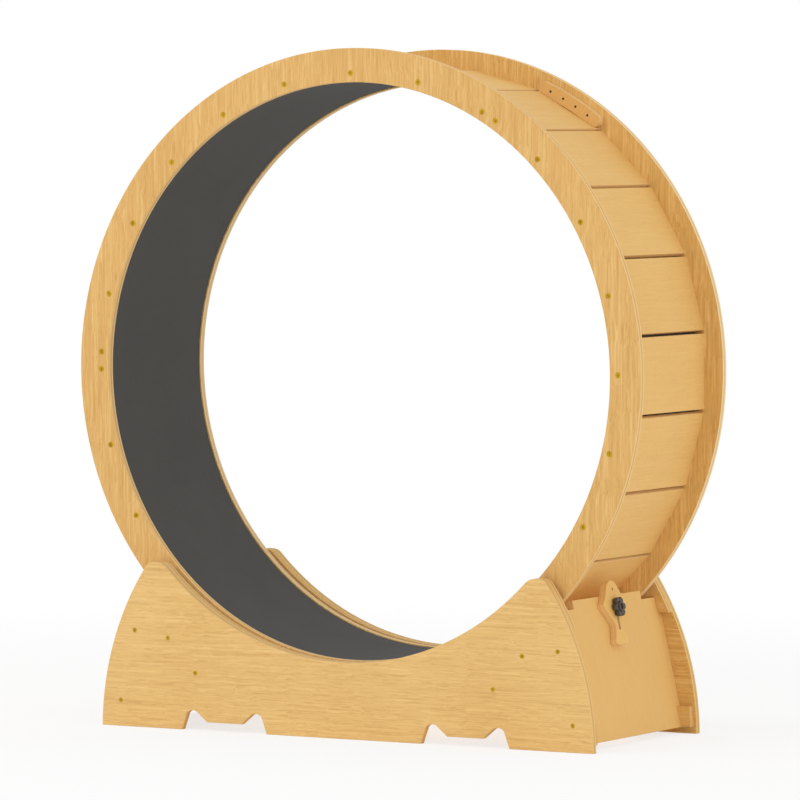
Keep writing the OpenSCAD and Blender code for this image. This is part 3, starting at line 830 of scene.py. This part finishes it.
blocks = {
    "from": 0.430,           # the foot blocks' outer ends lie further out than this
    "setBack": 0.0045,
    "ease": 0.0005,
    "ply": 0.006,            # half the thickness of a tip block
    "shift": (0.3, 0.3, 0.15),       # the first block's, and what the right and the rear ones add
    "railWidth": 0.024,
    "railThick": 0.012,
    "railReach": 44,         # degrees from straight down, cut off where the tip blocks end
    "railSteps": 84,
}


def addRails(shape, arc, wall):
    # the photograph shows the tips' second layer going on along the whole arc,
    # so a rail follows it on each panel, up to the inner ends of the tip blocks
    b = blocks
    a, outer, inside = radians(b["railReach"]), arc + b["railWidth"], wall - b["railThick"]
    end = min(shape.verts, key=lambda v: abs(v.co.x)).co.z
    for s in (-1, 1):
        rail = bmesh.new()
        spots = [(arc, wall), (arc, inside), (outer, inside), (outer, wall)]
        ring, edges = closedLine(rail, [(-sin(a) * r, s * y, axle.z - cos(a) * r) for r, y in spots])
        bmesh.ops.spin(rail, geom=ring + edges, cent=axle, axis=(0, -1, 0), angle=2 * a, steps=b["railSteps"])
        whole = rail.verts[:] + rail.edges[:] + rail.faces[:]
        bmesh.ops.bisect_plane(rail, geom=whole, dist=tolerance["cut"], plane_co=(0, 0, end),
                               plane_no=(0, 0, 1), clear_outer=True)
        bmesh.ops.holes_fill(rail, edges=[e for e in rail.edges if e.is_boundary], sides=0)
        bmesh.ops.recalc_face_normals(rail, faces=rail.faces)
        part = bpy.data.meshes.new("rail")
        rail.to_mesh(part)
        rail.free()
        shape.from_mesh(part)
        bpy.data.meshes.remove(part)


def makeBlocks():
    panel = nodes["front_side_panel"].data.vertices
    arc = min(hypot(v.co.x, v.co.z - axle.z) for v in panel)
    ply = blocks["ply"]
    first, right, rear = blocks["shift"]
    for node, name in (("tip_blocks", "tipBlocks"), ("foot_blocks", "footBlocks")):
        shape = closedMesh(node)
        lo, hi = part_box(node)
        atTips = node == "tip_blocks"
        if atTips:
            addRails(shape, arc, hi.y)
        else:
            # their outer ends stand back a little from the panels' edges
            for v in shape.verts:
                if abs(v.co.x) > blocks["from"]:
                    v.co.x -= blocks["setBack"] * (1 if v.co.x > 0 else -1)
        eased(shape, blocks["ease"], outline)
        depth = shape.verts.layers.float.new("plyDepth")
        board = shape.verts.layers.float.new("boardShift")
        for v in shape.verts:
            v[depth] = limited((abs(v.co.y) - hi.y + ply) / ply, -1.0) if atTips else 1.0
            v[board] = first + right * (v.co.x > 0) + rear * (v.co.y > 0)
        finishPiece(shape, name, "base", woods["blocks"], [node])


makeRings()
makeSlats()
makeMat()
makePlates()
makeSidePanels()
makeEnds()
makeBlocks()
print("wood and mat ready")


def screwHead(shape, centre, out, radius, turn):
    wide, rim = radius * screw["fit"], screw["rim"]
    top = bmesh.ops.create_circle(shape, cap_ends=False, segments=screw["sides"], radius=wide - rim)["verts"]
    w, a = radius * screw["armWidth"] / 2, radius * screw["armReach"]
    cross = [(a, w), (w, w), (w, a), (-w, a), (-w, w), (-a, w),
             (-a, -w), (-w, -w), (-w, -a), (w, -a), (w, -w), (a, -w)]
    star, starEdges = closedLine(shape, [(x, y, 0) for x, y in cross])
    made = top + star
    rimEdges = list({e for v in top for e in v.link_edges})
    bmesh.ops.bridge_loops(shape, edges=rimEdges + starEdges)

    hole = bmesh.ops.extrude_edge_only(shape, edges=starEdges)["geom"]
    low = [g for g in hole if isinstance(g, bmesh.types.BMVert)]
    made += low
    for v in low:
        v.co = Vector((v.co.x * screw["taper"], v.co.y * screw["taper"], -screw["depth"]))
    bmesh.ops.contextual_create(shape, geom=[g for g in hole if isinstance(g, bmesh.types.BMEdge)])

    for z, reach in ((-rim * screw["rimDrop"], wide), (-screw["neckDepth"], radius * screw["neck"])):
        skirt = bmesh.ops.extrude_edge_only(shape, edges=rimEdges)["geom"]
        ring = [g for g in skirt if isinstance(g, bmesh.types.BMVert)]
        rimEdges = [g for g in skirt if isinstance(g, bmesh.types.BMEdge)]
        made += ring
        for v in ring:
            flat = Vector((v.co.x, v.co.y, 0)).normalized() * reach
            v.co = Vector((flat.x, flat.y, z))
    bmesh.ops.contextual_create(shape, geom=rimEdges)

    upright = out.to_track_quat("Z", "X").to_matrix().to_4x4()
    move = Matrix.Translation(centre - out * screw["sink"]) @ upright @ Matrix.Rotation(turn, 4, "Z")
    bmesh.ops.transform(shape, matrix=move, verts=made)


def makeScrews():
    rows = (("slat_screws", "slatScrews", "wheel", brass, "screw_brass"),
            ("splice_screws", "spliceScrews", "wheel", blackScrew, "screw_black"),
            ("panel_screws", "panelScrews", "base", brass, "screw_brass"),
            ("block_screws", "blockScrews", "base", paleScrew, "screw_brass"),
            ("bracket_screws", "bracketScrews", "base", zinc, "steel"))
    for node, name, body, material, slot in rows:
        shape = bmesh.new()
        turns = random.Random(name)
        for centre, out, radius in heads[node]:
            screwHead(shape, centre, out, radius * screw["wider"].get(node, 1.0), turns.uniform(0, pi))
        bmesh.ops.recalc_face_normals(shape, faces=shape.faces)
        finishPiece(shape, name, body, material, [node], screw["smooth"])


makeScrews()
print("screws ready")


plain = {"smooth": 32, "shortest": 2}        # shorter edges than so many easings stay sharp


def plainCopy(node, name, body, material, width):
    shape = closedMesh(node)
    eased(shape, width, lambda e: e.calc_length() > width * plain["shortest"])
    finishPiece(shape, name, body, material, [node], plain["smooth"])


knob = {
    "radius": 0.0158,
    "notch": 0.29,           # depth of a notch, as a share of the radius
    "narrow": 2.2,           # the higher, the narrower the notches
    "lobes": 6,
    "sides": 144,
    "start": -0.0042,
    "smooth": 35,
    # height, width and how lobed each level is, from the underside to the middle of the top
    "levels": ((0.0, 0.90, 1.0), (0.0006, 0.96, 1.0), (0.0018, 1.0, 1.0), (0.0060, 1.0, 1.0),
               (0.0072, 0.97, 1.0), (0.0079, 0.91, 1.0), (0.0081, 0.84, 0.95), (0.0076, 0.66, 0.6),
               (0.0066, 0.58, 0.2), (0.0064, 0.50, 0.0), (0.0088, 0.47, 0.0), (0.0092, 0.43, 0.0),
               (0.0092, 0.33, 0.0), (0.0088, 0.30, 0.0), (0.0066, 0.28, 0.0), (0.0064, 0.08, 0.0)),
}


def makeKnob():
    shape = bmesh.new()
    bmesh.ops.create_circle(shape, cap_ends=True, segments=knob["sides"], radius=knob["radius"])
    last = bottom = shape.faces[:][0]
    for z, wide, lobed in knob["levels"]:
        if z:
            grown = bmesh.ops.extrude_face_region(shape, geom=[last])["geom"]
            if last is not bottom:
                bmesh.ops.delete(shape, geom=[last], context="FACES_ONLY")
            last = next(g for g in grown if isinstance(g, bmesh.types.BMFace))
        for v in last.verts:
            turn = atan2(v.co.y, v.co.x)
            notch = ((1 - cos(knob["lobes"] * turn)) / 2) ** knob["narrow"]
            reach = knob["radius"] * wide * (1 - knob["notch"] * lobed * notch)
            v.co = Vector((cos(turn) * reach, sin(turn) * reach, z))
    bmesh.ops.recalc_face_normals(shape, faces=shape.faces)
    joint = joints["knob_turn"]
    out = Vector(joint["axis"]).normalized()
    place = Matrix.Translation(Vector(joint["pos_m"]) + out * knob["start"])
    upright = out.to_track_quat("Z", "Y").to_matrix().to_4x4()
    bmesh.ops.transform(shape, matrix=place @ upright, verts=shape.verts)
    finishPiece(shape, "starKnob", "knob", knobPlastic, ["lock_knob"], knob["smooth"])


brake = {
    "ease": 0.0009,
    "steps": 3,
    "slotHalf": 0.004,       # the slot's own edges, nearer to the middle than this, stay sharp
    "shift": 0.7,
    "boltEase": 0.0001,
}


def makeBrake():
    shape = closedMesh("lock_slide")
    out = Vector((cos(lean), 0, sin(lean)))
    middle, half = thickness(shape, out)

    def faceEdge(e):
        flat = abs((e.verts[0].co - e.verts[1].co).dot(out)) < tolerance["level"]
        return flat and max(abs(v.co.y) for v in e.verts) > brake["slotHalf"]
    eased(shape, brake["ease"], faceEdge, brake["steps"])
    setDepth(shape, middle, out, half, brake["shift"])
    finishPiece(shape, "brakeSlide", "lock", woods["slide"], ["lock_slide"])
    plainCopy("lock_washer", "knobWasher", "base", zinc, brake["boltEase"])
    plainCopy("lock_bolt", "brakeBolt", "base", zinc, brake["boltEase"])
    makeKnob()


rollers = {"ease": 0.0002, "bracketSmooth": 25}


def makeRollers():
    for end in ("front", "rear"):
        for side in ("left", "right"):
            place, name = f"{end}_{side}", end + side.title()
            plainCopy(place + "_roller", name + "Roller", place + "_roller", rollerPlastic,
                      rollers["ease"])
            bracket = closedMesh(place + "_bracket")
            finishPiece(bracket, name + "Bracket", "base", zinc, [place + "_bracket"],
                        rollers["bracketSmooth"])
    plainCopy("axle_bolts", "axleBolts", "base", zinc, rollers["ease"])


makeBrake()
makeRollers()
print("brake and rollers ready")
